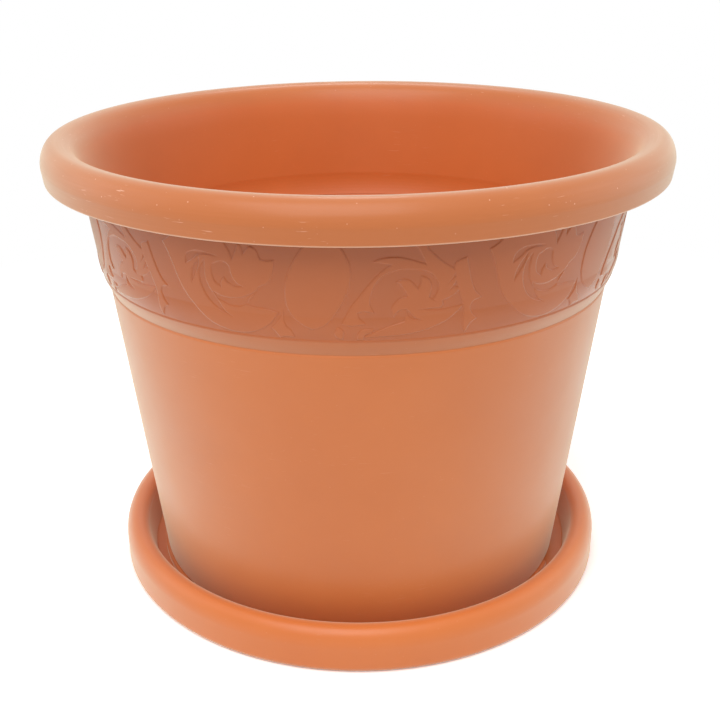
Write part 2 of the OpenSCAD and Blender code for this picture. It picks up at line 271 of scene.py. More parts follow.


# The shell, with its inside and its plain band marked: the inside's mark brings painted bounce
# light, a brighter and redder tone, and the band's mark a painted shade where the band faces down.
# The profile's points come in their order up the outside, over the top and down the inside. The
# inside's mark fades in below the top.
def makeShell(s):
    profile = supported(shellProfile(s), closed=True)
    piece = turnedPiece("potShell", profile, s["segments"], "pot")
    r, z = profile.T
    order = np.arange(len(z))
    floorLevel = s["standsAt"] + s["footH"] + s["floorT"] - 0.1  # just under the floor's top
    bandLevel = s["bodyTopZ"] - 0.2  # just under the ledge
    wallR = s["bodyTopR"] - 1.0  # just inside the wall's face
    fade = np.clip((s["rimTopZ"] - s["insideColourFrom"] - z) / s["insideColourFade"], 0, 1)
    inside = (order > z.argmax()) * (z > floorLevel) * fade
    # the band's mark brings a painted shade: a deeper tone where the band faces down
    band = (order < z.argmax()) & (z > bandLevel) & (z < s["bandTopZ"]) & (r > wallR)
    addZone(piece, "inside", np.repeat(inside, s["segments"]))
    addZone(piece, "band", np.repeat(band, s["segments"]))
    return piece


shell = makeShell(potSizes)
print("pot shell:", len(shell.data.polygons), "faces")

floorSizes = {
    "holeD": 13.0, "holeCircleR": 85.0, "holeCount": 8,
    "innerR": 52.0, "outerR": 136.0, "arcSteps": 24, "sideSteps": 10, "rings": 5, "crowding": 1.6,
    "holeEdge": 0.6, "holeEdgeSteps": 3, "holeEdgeAngle": 60.0, "weld": 0.05,
}


# A flat sheet with holes. Round each hole the surface is ruled from the hole's circle to the
# outline of its sector, its rows crowded to the hole by a power of their share; the middle is
# ruled from the centre hole to a circle. All faces look up.
def potFloor(f, s):
    holeR = f["holeD"] / 2
    half = 180 / f["holeCount"]
    arcs = np.linspace(-half, half, f["arcSteps"] + 1)[:-1]
    radial = np.linspace(f["innerR"], f["outerR"], f["sideSteps"] + 1)[:-1]
    sideStep = (f["outerR"] - f["innerR"]) / f["sideSteps"]
    radii = np.concatenate([np.full(len(arcs), f["outerR"]), radial[::-1] + sideStep,
                            np.full(len(arcs), f["innerR"]), radial])
    turns = np.concatenate([arcs, np.full(len(radial), half), -arcs, np.full(len(radial), -half)])
    outline = around(radii, turns, 0.0)[:, :2]
    holeCentre = around(f["holeCircleR"], 0.0, 0.0)[:2]
    toward = outline - holeCentre
    circle = holeCentre + holeR * toward / np.linalg.norm(toward, axis=1, keepdims=True)
    t = np.linspace(0, 1, f["rings"])[:, None, None] ** f["crowding"]
    sector = (circle + (outline - circle) * t).reshape(-1, 2)
    sectorFaces = gridFaces(f["rings"], len(outline), False, True)
    points, faces = [], []
    for k in range(f["holeCount"]):
        a = math.radians(2 * half * k)
        turn = np.array([[math.cos(a), math.sin(a)], [-math.sin(a), math.cos(a)]])
        points.append(sector @ turn)
        faces.append(sectorFaces + k * len(sector))
    middleTurns = np.arange(f["arcSteps"] * f["holeCount"]) * 2 * half / f["arcSteps"] - half
    middle = around(np.linspace(holeR, f["innerR"], f["rings"])[:, None], middleTurns[None], 0.0)[..., :2]
    points.append(middle.reshape(-1, 2))
    faces.append(gridFaces(f["rings"], len(middleTurns), False, True) + f["holeCount"] * len(sector))
    flat, quads = np.concatenate(points), np.concatenate(faces)
    sides = flat[quads[:, 1]] - flat[quads[:, 0]], flat[quads[:, 2]] - flat[quads[:, 0]]
    facesUp = sides[0][:, 0] * sides[1][:, 1] - sides[0][:, 1] * sides[1][:, 0] > 0
    top = s["standsAt"] + s["footH"] + s["floorT"]
    points = np.column_stack([flat, np.full(len(flat), top)])
    return points, np.where(facesUp[:, None], quads, quads[:, ::-1])


floorPiece = makePiece("potFloor", *potFloor(floorSizes, potSizes), "pot", smooth=False, closed=False)
# the floor inside the pot takes the inside's painted bounce light as well
addZone(floorPiece, "inside", np.ones(len(floorPiece.data.vertices)))
weld = floorPiece.modifiers.new("weld", "WELD")
weld.merge_threshold = floorSizes["weld"] * metresPerMm
solid = floorPiece.modifiers.new("thickness", "SOLIDIFY")
solid.thickness = potSizes["floorT"] * metresPerMm
solid.offset = -1
edgeRound = floorPiece.modifiers.new("hole edges", "BEVEL")
edgeRound.width = floorSizes["holeEdge"] * metresPerMm
edgeRound.segments = floorSizes["holeEdgeSteps"]
edgeRound.limit_method = "ANGLE"
edgeRound.angle_limit = math.radians(floorSizes["holeEdgeAngle"])
print("pot floor with", floorSizes["holeCount"] + 1, "drain holes")

ribSizes = {
    "rimRibs": 12, "rimRibFirst": 15.0, "thickness": 2.0,
    "floorRibs": 8, "floorRibFirst": 22.5, "hubR": 13.0, "hubSegments": 96,
    "clearance": 2.0, "overlap": 0.5,
}


# an upright plate: the same outline (r, z) half a thickness to each side of one azimuth
def plate(outline, azimuth, thickness):
    a = math.radians(azimuth)
    along = np.array([math.sin(a), -math.cos(a), 0])
    across = np.array([math.cos(a), math.sin(a), 0])
    flat = outline[:, :1] * along + outline[:, 1:] * np.array([0, 0, 1.0])
    return np.concatenate([flat - across * thickness / 2, flat + across * thickness / 2])


# plates with one outline at several azimuths, each closed by its two sides and its edge
def plates(name, outline, azimuths, thickness, body):
    count = len(outline)
    ring = np.arange(count)
    edge = np.stack([ring, (ring + 1) % count, (ring + 1) % count + count, ring + count], 1)
    points = np.concatenate([plate(outline, a, thickness) for a in azimuths])
    starts = np.arange(len(azimuths)) * 2 * count
    faces = (edge[None] + starts[:, None, None]).reshape(-1, 4)
    caps = [list(ring[::-1] + o) for o in starts] + [list(ring + count + o) for o in starts]
    return makePiece(name, points, faces, body, caps, smooth=False)


# follows the middle of the rim's wall above the level where the crown starts
def rimRibOutline(s):
    line = crownLine(s, s["wall"] / 2, 8)
    low = s["rimTopZ"] - s["crownOuterH"]
    lean = (s["mouthR"] - s["neckR"] + s["wall"]) / (s["rimTopZ"] - s["crownInnerH"] - s["rimFootZ"])
    innerR = s["neckR"] - s["wall"] / 2 + lean * (low - s["rimFootZ"])
    return np.concatenate([line, [[innerR, low]]])


# a flat bar that hangs under the floor, from its top inside the floor down to its lower edge
def underFloorBar(fromR, toR, s, b):
    low = s["standsAt"] + b["clearance"]
    high = s["standsAt"] + s["footH"] + b["overlap"]
    return np.array([[fromR, low], [toR, low], [toR, high], [fromR, high]])


rimAzimuths = ribSizes["rimRibFirst"] + np.arange(ribSizes["rimRibs"]) * 360 / ribSizes["rimRibs"]
rimRibs = plates("rimRibs", rimRibOutline(potSizes), rimAzimuths, ribSizes["thickness"], "pot")
floorAzimuths = ribSizes["floorRibFirst"] + np.arange(ribSizes["floorRibs"]) * 360 / ribSizes["floorRibs"]
barEndR = potSizes["footR"] - potSizes["footRingW"] + ribSizes["overlap"]
floorBar = underFloorBar(ribSizes["hubR"], barEndR, potSizes, ribSizes)
floorRibs = plates("floorRibs", floorBar, floorAzimuths, ribSizes["thickness"], "pot")
hubBar = underFloorBar(ribSizes["hubR"], ribSizes["hubR"] + ribSizes["thickness"], potSizes, ribSizes)
floorHub = turnedPiece("floorHub", supported(hubBar, closed=True), ribSizes["hubSegments"], "pot")
print("ribs under the rim and the floor")

# the frieze, from the plain band to the rim
friezeSizes = {
    "repeats": 6, "turn": -7.0, "meanR": 171.5,
    "firstX": -101.0, "columns": 510, "rows": 176,
    "belowSeam": 0.3, "aboveRimFoot": 2.2, "edgeSlope": 0.75, "borderSlope": 1.0,
    "lipFrom": 1.0, "lipSlope": 0.6, "backInset": 1.0, "backRows": 6, "sideTuck": 0.012, "lowTuck": 0.048,
    "nearX": 44.0, "nearEyeZ": 24.7, "farX": 131.0, "farEyeZ": 36.9,
}

# Each shape below is a closed list of strokes. A stroke is a smooth curve through its points
# (across, up), and two strokes meet in a sharp tip.

# an egg with its point down and a little to the left
medallion = [
    [(-3.3, 7.6), (1.5, 9.2), (6, 12.6), (11.1, 20), (14.6, 27), (16.6, 33), (17.4, 40), (16.6, 46),
     (13.4, 53), (8, 58.5), (3, 60)],
    [(3, 60), (-3, 57.5), (-8.3, 51.5), (-12.6, 44), (-15.6, 36.5), (-16.9, 29), (-16.4, 20.5), (-13, 14),
     (-8, 9.8), (-3.3, 7.6)],
]

# the lower scroll, from its eye: a stem that climbs from its calyx, throws leaves to the rim and
# to the right, and comes round over a whirl of small leaves
nearStem = [
    [(-31.4, -13.8), (-26.8, -4.4), (-22.9, 1.2), (-15.1, 11.7), (-9, 17.8), (-5.7, 19.7)],
    [(-5.7, 19.7), (-10.1, 20.9), (-15.1, 21.7)],
    [(-15.1, 21.7), (-11.2, 23.4), (-5.1, 24), (1.6, 22.9), (12.1, 19)],
    [(12.1, 19), (9.3, 25.1), (6, 31), (4, 38)],
    [(4, 38), (9, 38)],
    [(9, 38), (12, 29), (14.9, 25.1), (21, 19.5), (28.4, 14.4)],
    [(28.4, 14.4), (26.6, 10.4), (24.3, 7.3)],
    [(24.3, 7.3), (27.4, 10.2), (30.2, 12.8)],
    [(30.2, 12.8), (28.2, 7.4), (25.4, 3.4)],
    [(25.4, 3.4), (28.4, 4.7), (31.8, 4.2)],
    [(31.8, 4.2), (28.8, 1.2), (24.9, -1), (21.6, -2.1)],
    [(21.6, -2.1), (18.8, -2.2), (16.6, -1)],
    [(16.6, -1), (19.1, 4.2), (18.4, 9.4), (12.7, 15.1), (1.6, 17.1), (-5.1, 16.2), (-10.7, 13.4),
     (-14.6, 8.4), (-16.6, 2), (-16.8, -2.7), (-14.6, -7.4)],
    [(-14.6, -7.4), (-19.6, -6.3), (-23.4, -7.1)],
    [(-23.4, -7.1), (-22.3, -10.5), (-19, -13.6)],
    [(-19, -13.6), (-26, -14.7), (-31.4, -13.8)],
]
nearWhirl = [
    [(-3.4, 10.1), (-0.7, 11.2), (2.7, 10.9), (5.4, 8.8), (8.3, 5.4)],
    [(8.3, 5.4), (9.5, 8.9), (9.7, 12.7)],
    [(9.7, 12.7), (12.9, 11), (14.8, 8.2), (15.2, 4.6), (14.3, 0.1)],
    [(14.3, 0.1), (17, -1.6), (21.6, -2.1)],
    [(21.6, -2.1), (22, -5), (19, -7.6)],
    [(19, -7.6), (12, -12.6), (2, -13)],
    [(2, -13), (2.2, -9), (2.7, -5.5)],
    [(2.7, -5.5), (-0.7, -6), (-2.9, -7.7), (-4.3, -10.3)],
    [(-4.3, -10.3), (-5.1, -4.9), (-3.4, -1.6), (-0.7, 0.6), (3.2, 1.5)],
    [(3.2, 1.5), (1, 5.6), (-0.9, 8.4), (-3.4, 10.1)],
]
nearLowLeaf = [
    [(-19.6, -21.6), (-12, -17.8), (-5, -14.8), (2, -12.8)],
    [(2, -12.8), (8, -7.6), (19.3, -7.2), (27.1, -6.7), (33.8, -6.2)],
    [(33.8, -6.2), (28.8, -11), (22.7, -14.9), (13.8, -18.3), (7.1, -19.9), (-2.9, -21), (-19.6, -21.6)],
]
nearCurls = [
    [[(-23.6, -23), (-22.6, -18.8), (-19.6, -16.8), (-14.8, -16.8)],
     [(-14.8, -16.8), (-15.8, -18.6), (-19.2, -20), (-20.2, -23)]],
    [[(-33.6, -15.4), (-30.8, -18), (-31.2, -22.6)],
     [(-31.2, -22.6), (-34.4, -21.6), (-35.4, -19), (-33.6, -15.4)]],
]
nearCreases = [
    [[(9, -6.4), (19.3, -7.7), (27.1, -7), (34.2, -6)],
     [(34.2, -6), (27, -5.7), (19.3, -6.1), (9, -6.4)]],
    [[(2.2, -5.4), (3.2, -9.4), (6, -11.9), (11.4, -12.8)],
     [(11.4, -12.8), (6.8, -10.7), (4.8, -8.2), (2.2, -5.4)]],
]

# the upper scroll, from its eye: a broad leaf that falls from the rim and sweeps round below
farBody = [
    [(-40.8, 11.8), (-38.4, 7.6), (-35.4, -0.6), (-32.8, -9.3), (-29.4, -16), (-24.2, -22.4),
     (-18.4, -27.8), (-12.6, -31.6), (-6, -33.9), (1.6, -35), (9.4, -34.2), (16.8, -31.4), (22.6, -27),
     (27.5, -20.6)],
    [(27.5, -20.6), (21, -19.3), (14, -18.9), (9.4, -17.6)],
    [(9.4, -17.6), (13.5, -12.6), (17.4, -6.6), (20.4, 0.6), (20.6, 6.6), (19, 10.4)],
    [(19, 10.4), (17.5, 14.5), (14, 15.6), (10.3, 11)],
    [(10.3, 11), (9.6, 15), (8, 16.6), (6.4, 13), (3.6, 7.3)],
    [(3.6, 7.3), (2.6, 12), (0, 17), (-1, 24)],
    [(-1, 24), (-30, 24)],
    [(-30, 24), (-33, 18), (-36, 14.6), (-40.8, 11.8)],
]
farSideLeaf = [
    [(18, 9.8), (22, 8.6), (27, 9.2)],
    [(27, 9.2), (26, 3), (23, -3.4), (17, -7)],
    [(17, -7), (20, 2), (18, 9.8)],
]
farSlots = [
    [[(-25.8, 1.6), (-25.4, 5), (-23.6, 7.8), (-19.7, 9.6), (-15.2, 10), (-9.6, 9.4), (-4.7, 8.4)],
     [(-4.7, 8.4), (-11.8, 8.6), (-17.4, 7.4), (-21, 4.6), (-25.8, 1.6)]],
    [[(-23.6, -9.3), (-23, -4.6), (-20.8, 0.6), (-16.4, 6.2)],
     [(-16.4, 6.2), (-17.4, 1.6), (-20.2, -3.8), (-23.6, -9.3)]],
    [[(-13.2, 5.4), (-17, 0.2), (-17.8, -6.6), (-16.4, -12.8), (-12.8, -18.6), (-7, -23.2), (0.8, -26.1)],
     [(0.8, -26.1), (-4.3, -22.7), (-8, -16.6)],
     [(-8, -16.6), (-12.6, -9.6), (-14, -3.4), (-13.2, 5.4)]],
    [[(-10.4, -12.4), (-5.2, -14.3), (0.3, -14.9), (6.4, -13.9), (12, -11.4), (16.4, -8.4), (19.6, -5.4)],
     [(19.6, -5.4), (16, -9.8), (11.6, -13.6), (10, -17.8)],
     [(10, -17.8), (5, -19.6), (-1, -19.4), (-8, -16.6)],
     [(-8, -16.6), (-10.4, -12.4)]],
    [[(-8.6, 3.6), (-9.6, 0.4), (-9.4, -3.8), (-8, -7), (-4.6, -9.4)],
     [(-4.6, -9.4), (-4.4, -6.4), (-2.4, -3)],
     [(-2.4, -3), (-1, -5.6), (1.6, -7.2)],
     [(1.6, -7.2), (4.4, -8.2), (8.6, -7.6)],
     [(8.6, -7.6), (5.4, -6), (3.2, -3.4), (2, 0.4)],
     [(2, 0.4), (1.4, 4), (-2.6, 6), (-8.6, 3.6)]],
]

# the bud that hangs from the rim between the scrolls, and the calyx beside the medallion's foot
bud = [
    [(77.6, 46), (71.5, 43), (72.5, 34), (75.5, 25), (78, 17), (78.4, 7), (80, 1.9)],
    [(80, 1.9), (81.4, 5), (83, 7.6), (86.3, 9.7)],
    [(86.3, 9.7), (83.2, 13), (82, 17.4), (84, 20.4), (88, 21.6)],
    [(88, 21.6), (84, 26), (81, 33), (77.6, 46)],
]
calyx = [
    [(-21.6, 1.4), (-17.4, 2.6), (-13.2, 2.2)],
    [(-13.2, 2.2), (-15, 6.4), (-17.6, 8.6)],
    [(-17.6, 8.6), (-18.8, 12.6), (-18.6, 18)],
    [(-18.6, 18), (-20.6, 12.4), (-25.8, 7)],
    [(-25.8, 7), (-23.4, 4.6), (-21.6, 1.4)],
]


# A cubic through the points of one stroke: at each inner point it runs along the line from the
# point before to the point after, at the ends along the first and the last stretch.
def smoothStroke(points, steps=6):
    p = np.array(points, float)
    extended = np.concatenate([2 * p[:1] - p[1:2], p, 2 * p[-1:] - p[-2:-1]])
    slope = (extended[2:] - extended[:-2]) / 2
    t = (np.arange(steps) / steps)[None, :, None]
    start, end, startSlope, endSlope = p[:-1, None], p[1:, None], slope[:-1, None], slope[1:, None]
    curve = (start * (1 + 2 * t) * (1 - t) ** 2 + startSlope * t * (1 - t) ** 2
             + end * t ** 2 * (3 - 2 * t) + endSlope * t ** 2 * (t - 1))
    return np.concatenate([curve.reshape(-1, 2), p[-1:]])


# Distance from each point to the closed outline, negative inside, by the nearest point on each
# of its edges and the even-odd rule.
def distanceTo(outline, x, z):
    ax, az = outline[:, 0], outline[:, 1]
    bx, bz = np.roll(ax, -1), np.roll(az, -1)
    dx, dz = bx - ax, bz - az
    px, pz = x[:, None] - ax, z[:, None] - az
    t = np.clip((px * dx + pz * dz) / (dx ** 2 + dz ** 2 + 1e-12), 0, 1)
    nearest = np.sqrt(((px - t * dx) ** 2 + (pz - t * dz) ** 2).min(1))
    crosses = ((az > z[:, None]) != (bz > z[:, None])) & (px < pz * dx / np.where(dz == 0, 1e-12, dz))
    return np.where(crosses.sum(1) % 2 == 1, -nearest, nearest)


# How far the ornament stands up, 0 to 1. Raised shapes are joined by the least distance, slots
# are taken out, and the distance becomes a smooth slope at each edge: s^2 (3 - 2 s).
def ornamentHeight(f, x, z):
    repeat = 2 * math.pi * f["meanR"] / f["repeats"]
    near, far, here = (f["nearX"], f["nearEyeZ"]), (f["farX"], f["farEyeZ"]), (0, 0)
    raised = [(medallion, here), (bud, here), (calyx, here), (nearStem, near), (nearWhirl, near),
              (nearLowLeaf, near), (farBody, far), (farSideLeaf, far)] + [(c, near) for c in nearCurls]
    sunk = [(c, near) for c in nearCreases] + [(c, far) for c in farSlots]
    reach = 2 * f["edgeSlope"]
    distance = np.full(x.shape, reach)
    for number, (strokes, place) in enumerate(raised + sunk):
        outline = np.concatenate([smoothStroke(points) for points in strokes]) + np.array(place)
        for copy in (-1, 0, 1):
            moved = outline + np.array([copy * repeat, 0])
            low, high = moved.min(0) - reach, moved.max(0) + reach
            close = np.flatnonzero((x > low[0]) & (x < high[0]) & (z > low[1]) & (z < high[1]))
            if len(close) == 0:
                continue
            d = distanceTo(moved, x[close], z[close])
            if number < len(raised):
                distance[close] = np.minimum(distance[close], d)
            else:
                distance[close] = np.maximum(distance[close], -d)
    share = np.clip(0.5 - distance / f["edgeSlope"], 0, 1)
    return share * share * (3 - 2 * share)


# One repeat as a grid of azimuth and height, its radius the wall's face less the relief where
# neither the ornament, the band's border nor the lip under the rim is raised; a coarse back
# closes it. It is placed once per repeat. Its first row is tucked behind the band, and one
# more column at each end behind the neighbour.
def friezePieces(f, s):
    repeatDeg = 360 / f["repeats"]
    degPerMm = 180 / (math.pi * f["meanR"])
    turns = np.arange(-1, f["columns"] + 2) * repeatDeg / f["columns"] + f["firstX"] * degPerMm
    lowest, highest = s["bandTopZ"] - s["bandSeam"] - f["belowSeam"], s["rimFootZ"] + f["aboveRimFoot"]
    heights = np.linspace(lowest, highest, f["rows"])
    gridTurn, gridZ = np.meshgrid(turns, heights, indexing="ij")
    above = gridZ - s["bandTopZ"]
    ornament = ornamentHeight(f, gridTurn.ravel() / degPerMm, above.ravel()).reshape(gridTurn.shape)
    lip = np.clip((gridZ - s["rimFootZ"] - f["lipFrom"]) / f["lipSlope"], 0, 1)
    border = np.clip(1 - above / f["borderSlope"], 0, 1)
    ornament = np.maximum(ornament, border * border * (3 - 2 * border))
    raised = np.maximum(ornament, lip)
    radius = wallFace(gridZ, s) - s["relief"] * (1 - raised)
    radius[[0, -1]] -= f["sideTuck"]
    radius[:, 0] -= f["lowTuck"]
    backZ = np.linspace(heights[-1], heights[0], f["backRows"])
    backR = np.broadcast_to(wallFace(backZ, s) - s["relief"] - f["backInset"], (len(turns), f["backRows"]))
    allR = np.concatenate([radius, backR], 1)
    allZ = np.concatenate([gridZ, np.broadcast_to(backZ, backR.shape)], 1)
    allTurn = np.broadcast_to(turns[:, None], allR.shape)
    ring = allR.shape[1]
    faces = gridFaces(len(turns), ring, False, True)
    caps = [list(range(ring)), list(range(len(turns) * ring - 1, (len(turns) - 1) * ring - 1, -1))]
    mask = np.concatenate([ornament, np.zeros_like(backR)], 1).ravel()
    made = []
    for k in range(f["repeats"]):
        vertices = around(allR, allTurn + f["turn"] + k * repeatDeg, allZ).reshape(-1, 3)
        piece = makePiece(f"frieze{k + 1}", vertices, faces, "pot", caps)
        addZone(piece, "raised", mask)
        made.append(piece)
    return made


friezes = friezePieces(friezeSizes, potSizes)
print("frieze:", len(friezes), "repeats of", len(friezes[0].data.polygons), "faces")

# the saucer
saucerSizes = {
    "height": 30.0, "wall": 2.5, "lift": 1.5, "outerR": 171.0, "lipR": 155.0,
    "moatR": 151.0, "moatCorner": 1.6, "lipW": 16.0, "lipOuterH": 12.0, "lipInnerH": 8.0,
    "skirtEdge": 4.5, "skirtLand": 2.0, "skirtCorner": 0.4, "underCorner": 0.5,
    "ringRs": (57.0, 99.75), "ringW": 2.0, "ringH": 0.8, "ringFlank": 0.3, "ringEdge": 0.3,
    "padInnerR": 131.5, "padOuterR": 144.5, "padH": 3.5, "padCount": 6, "padTurn": -73.0,
    "padSpan": 36.0, "padEdge": 0.8, "padSink": 0.6,
    "lipRibs": 12, "lipRibFirst": 90.0, "ribThickness": 2.0, "segments": 320,
}


# over the saucer's lip from its outer side to its inner side: two quarter ellipses
def lipLine(u, inset, count):
    midR = u["lipR"] + u["lipW"] / 2
    half = u["lipW"] / 2 - inset
    outer = onEllipse((midR, u["height"] - u["lipOuterH"]), (half, u["lipOuterH"] - inset), 0, 90, count)
    inner = onEllipse((midR, u["height"] - u["lipInnerH"]), (half, u["lipInnerH"] - inset), 90, 180, count)
    return np.concatenate([outer, inner[1:]])


# from the axis under the floor, out through the hollow lip and over it, and back over the floor
# with its stiffening rings
def saucerProfile(u):
    floorTop = u["lift"] + u["wall"]
    skirtR = u["outerR"] - u["skirtEdge"]
    landR = skirtR - u["skirtLand"]
    edge = u["skirtCorner"]
    hollow = lipLine(u, u["wall"], 10)[::-1]
    under = rounded([
        (0, u["lift"], 0), (u["moatR"], u["lift"], u["underCorner"]), (u["moatR"], 0, edge),
        (u["moatR"] + u["wall"], 0, edge), (*hollow[0], 0),
    ], 5)[:-1]
    skirtIn = onEllipse((skirtR, u["skirtEdge"]), (u["skirtEdge"] - u["wall"],) * 2, 0, -90, 8)
    foot = rounded([
        (*skirtIn[-1], 0), (landR, skirtIn[-1, 1], edge), (landR, 0, edge), (skirtR, 0, 0),
    ], 5)[1:]
    skirtOut = onEllipse((skirtR, u["skirtEdge"]), (u["skirtEdge"],) * 2, -90, 0, 12)[1:]
    lip = lipLine(u, 0, 20)
    floorCorners = [(*lip[-1], 0), (u["moatR"], floorTop, u["moatCorner"])]
    ringTop = floorTop + u["ringH"]
    for ringR in sorted(u["ringRs"], reverse=True):
        outerR = ringR + u["ringW"]
        floorCorners += [
            (outerR + u["ringFlank"], floorTop, u["ringEdge"]), (outerR, ringTop, u["ringEdge"]),
            (ringR, ringTop, u["ringEdge"]), (ringR - u["ringFlank"], floorTop, u["ringEdge"]),
        ]
    floorCorners.append((0, floorTop, 0))
    floorLine = rounded(floorCorners, 6)[1:]
    return np.concatenate([under, hollow, skirtIn, foot, skirtOut, lip, floorLine])


saucerLine = supported(saucerProfile(saucerSizes))
saucerShell = turnedPiece("saucerShell", saucerLine, saucerSizes["segments"], "saucer")
print("saucer:", len(saucerShell.data.polygons), "faces")


# a closed outline (r, z) with rounded corners
def roundedBox(low, high, edge, count=5):
    quarters = [((high[0] - edge, high[1] - edge), 0), ((low[0] + edge, high[1] - edge), 90),
                ((low[0] + edge, low[1] + edge), 180), ((high[0] - edge, low[1] + edge), 270)]
    return np.concatenate([onEllipse(c, (edge, edge), a, a + 90, count) for c, a in quarters])


# Each pad is a rounded outline swept along an arc; near its two ends the outline shrinks as a
# quarter circle does, which rounds the ends.
def seatPads(u, endSteps=5, middleSteps=30):
    floorTop = u["lift"] + u["wall"]
    low, high = (u["padInnerR"], floorTop - u["padSink"]), (u["padOuterR"], floorTop + u["padH"])
    degPerMm = 180 / (math.pi * u["padOuterR"])
    quarter = np.linspace(0, math.pi / 2, endSteps)
    endShrink = u["padEdge"] * (1 - np.sin(quarter))
    endPlace = u["padEdge"] * (1 - np.cos(quarter)) * degPerMm
    half = u["padSpan"] / 2
    middleTurns = np.linspace(-half + 1, half - 1, middleSteps)
    turns = np.concatenate([-half + endPlace, middleTurns, (half - endPlace)[::-1]])
    shrinks = np.concatenate([endShrink, np.zeros(middleSteps), endShrink[::-1]])
    outline = roundedBox(low, high, u["padEdge"])
    centre = np.array([low[0] + high[0], low[1] + high[1]]) / 2
    halfSize = np.array([high[0] - low[0], high[1] - low[1]]) / 2
    scaled = centre + (outline - centre) * (1 - shrinks[:, None, None] / halfSize)
    ring = len(outline)
    faces = gridFaces(len(turns), ring, False, True)
    caps = [list(range(ring)), list(range(len(turns) * ring - 1, (len(turns) - 1) * ring - 1, -1))]
    points, allFaces, allCaps = [], [], []
    for k in range(u["padCount"]):
        azimuth = turns[:, None] + u["padTurn"] + k * 360 / u["padCount"]
        points.append(around(scaled[..., 0], azimuth, scaled[..., 1]).reshape(-1, 3))
        offset = k * len(turns) * ring
        allFaces.append(faces + offset)
        allCaps += [[i + offset for i in c] for c in caps]
    return makePiece("seatPads", np.concatenate(points), np.concatenate(allFaces), "saucer", allCaps)


pads = seatPads(saucerSizes)


# follows the middle of the lip's wall above the skirt's edge
def lipRibOutline(u):
    line = lipLine(u, u["wall"] / 2, 8)
    low = u["skirtEdge"]
    lean = (u["lipR"] - u["moatR"]) / (u["height"] - u["lipInnerH"] - u["lift"] - u["wall"])
    innerR = u["moatR"] + u["wall"] / 2 + lean * max(0.0, low - u["lift"] - u["wall"])
    return np.concatenate([[[u["outerR"] - u["wall"] / 2, low]], line, [[innerR, low]]])


lipAzimuths = saucerSizes["lipRibFirst"] + np.arange(saucerSizes["lipRibs"]) * 360 / saucerSizes["lipRibs"]
lipRibs = plates("lipRibs", lipRibOutline(saucerSizes), lipAzimuths, saucerSizes["ribThickness"], "saucer")
print("saucer pads and ribs")

# the finishes: colours are linear, and the last number of each is its opacity
finish = {
    "potColour": (0.650, 0.175, 0.036, 1), "potDeep": (0.605, 0.156, 0.030, 1),
    # the band's colours are a painted shade: deeper than the pot's, for the shade where the band faces down
    "bandColour": (0.550, 0.148, 0.032, 1), "bandDeep": (0.515, 0.134, 0.028, 1),
    # the inside's colours are painted light: brighter and redder than the pot's, for light bounced about
    # inside
    "insideColour": (0.690, 0.166, 0.032, 1), "insideDeep": (0.640, 0.148, 0.027, 1),
    "rimColour": (0.590, 0.160, 0.028, 1), "rimDeep": (0.530, 0.138, 0.022, 1),
    # the frieze's colours are painted darker than the pot's: painted shade for the rim's shadow
    "groundColour": (0.500, 0.127, 0.029, 1), "groundDeep": (0.465, 0.115, 0.026, 1),
    "ornamentColour": (0.508, 0.133, 0.033, 1), "ornamentDeep": (0.484, 0.125, 0.030, 1),
    # the saucer's colours are painted brighter than the pot's: painted bounce light from the floor
    "saucerColour": (0.740, 0.195, 0.036, 1), "saucerDeep": (0.690, 0.172, 0.030, 1),
    # the pale edge line under the rim: partly the paler parting line, partly a painted reflection of the
    # floor
    "paleMark": (0.860, 0.480, 0.320, 1), "partingLineAndGlint": (0.860, 0.470, 0.290, 1),
    "bodyRoughness": 0.42, "groundRoughness": 0.22, "ornamentRoughness": 0.45, "saucerRoughness": 0.38,
    "sheen": 0.70, "sheenRoughness": 0.46, "friezeSheen": 0.90, "friezeSheenRoughness": 0.32,
    "sheenTint": (1.0, 0.97, 0.74, 1),
    "coat": 0.15, "insideCoat": 0.0, "rimCoat": 0.35, "groundCoat": 0.0, "ornamentCoat": 0.15,
    "coatRoughness": 0.25, "ior": 1.49,
    "lines": 0.3, "rimLines": 2.2, "ornamentLines": 0.1, "groundLines": 0.15, "saucerLines": 0.35,
    "grain": 0.35, "ornamentGrain": 1.0, "groundGrain": 0.25,
    "marks": 0.12, "rimMarks": 0.75, "saucerMarks": 0.15,
    "bump": 0.25, "friezeBump": 0.35, "bumpDepth": 0.1, "matteFrom": (0.35, 0.85),
}

# How many times a pattern repeats in a metre, and between which levels it shows. The lines and
# the patches also have what they add to the colour's tone and to the roughness.
pattern = {
    "linesAround": 14.0, "linesAcross": 900.0, "lineSlant": 0.8, "lineTone": -0.4, "lineRoughness": 0.12,
    "grain": 1400.0, "tone": 9.0, "toneLevels": (0.32, 0.68),
    "patches": 34.0, "patchLevels": (0.3, 0.7), "patchRoughness": 0.03,
    "specks": 420.0, "speckLevels": (0.20, 0.08), "speckShare": (0.93, 0.97),
    "scratches": (90.0, 90.0, 1100.0), "scratchTurn": (0.45, 0.3, 0.6), "scratchLevels": (0.67, 0.74),
    "scratchZones": 26.0, "zoneLevels": (0.55, 0.62),
}


# adds a node, sets its properties and inputs, and links the sockets given for its inputs
def addNode(tree, kind, links=None, **values):
    node = tree.nodes.new(kind)
    for key, value in values.items():
        setattr(node, key, value)
    for key, value in (links or {}).items():
        if isinstance(value, bpy.types.NodeSocket):
            tree.links.new(value, node.inputs[key])
        else:
            node.inputs[key].default_value = value
    return node


# one arithmetic node: add, multiply or the like, of one to three values
def calculate(tree, operation, *values):
    return addNode(tree, "ShaderNodeMath", dict(enumerate(values)), operation=operation).outputs[0]


# rises evenly from one value to the other while the input goes from low to high
def rampBetween(tree, value, low, high, fromValue=0.0, toValue=1.0):
    links = {"Value": value, 1: low, 2: high, 3: fromValue, 4: toValue}
    return addNode(tree, "ShaderNodeMapRange", links).outputs[0]


